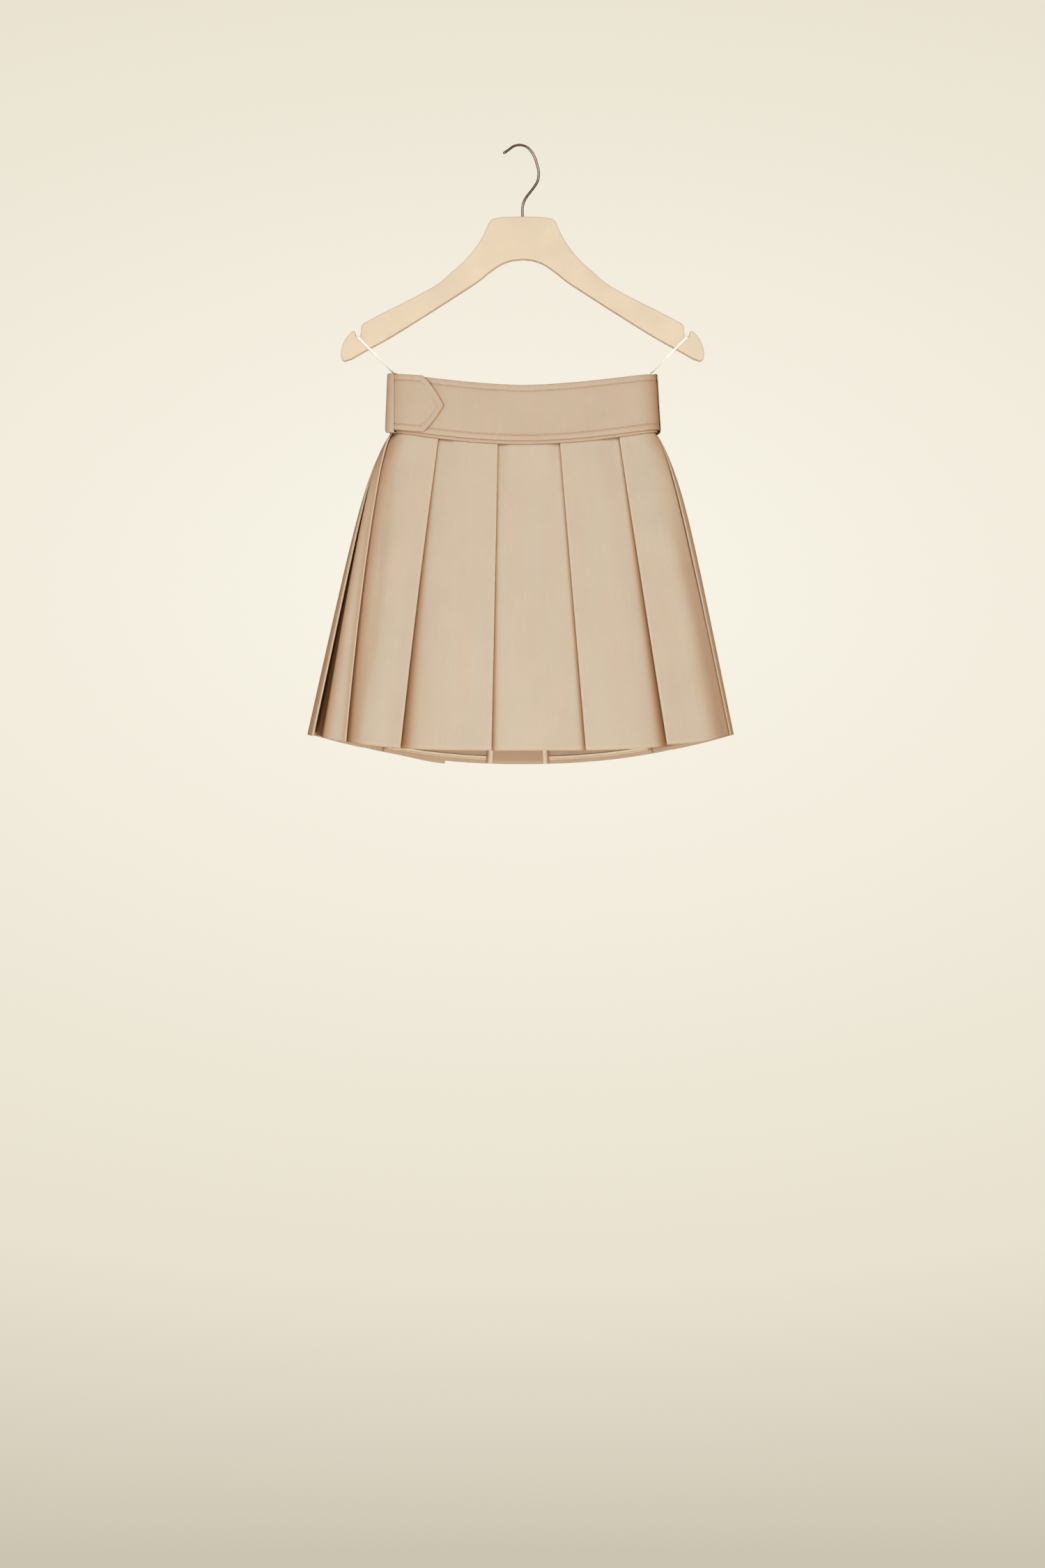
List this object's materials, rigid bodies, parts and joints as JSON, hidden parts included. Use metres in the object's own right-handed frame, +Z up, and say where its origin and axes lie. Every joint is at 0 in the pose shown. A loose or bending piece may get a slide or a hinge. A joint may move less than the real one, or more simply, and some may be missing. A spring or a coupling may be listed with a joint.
{
  "type": "mini skirt on hanger",
  "caption": "Pleated cotton mini skirt with a wide wrapped belt, hung by two ribbon loops on a notched coat hanger with a wire hook.",
  "frame": {"origin": "underside of the top of the hanger's hook, where a rail carries it", "axes": "+X to the right seen from the front, +Y to the back, so the front faces -Y, and +Z up"},
  "size_m": [0.5209, 0.1831, 0.7557],
  "materials": {
    "cloth": "matte beige cotton gabardine",
    "tape": "cream binding tape",
    "ribbon": "off-white satin ribbon",
    "hanger_board": "matte pressed fibre, beige with fine specks",
    "hook_wire": "satin steel wire"
  },
  "bodies": {
    "root": {"skirt_front": "cloth", "skirt_back_left": "cloth", "skirt_back_right": "cloth", "back_pleat_underlay": "cloth", "waistband_front": "cloth", "waistband_back": "cloth", "belt": "cloth", "belt_loop_left": "cloth", "belt_loop_right": "cloth", "hem_tape_left": "tape", "hem_tape_right": "tape", "seam_binding_left": "tape", "seam_binding_right": "tape", "hanger_ribbon_left": "ribbon", "hanger_ribbon_right": "ribbon", "hanger": "hanger_board", "hanger_hook": "hook_wire"}
  },
  "joints": []
}
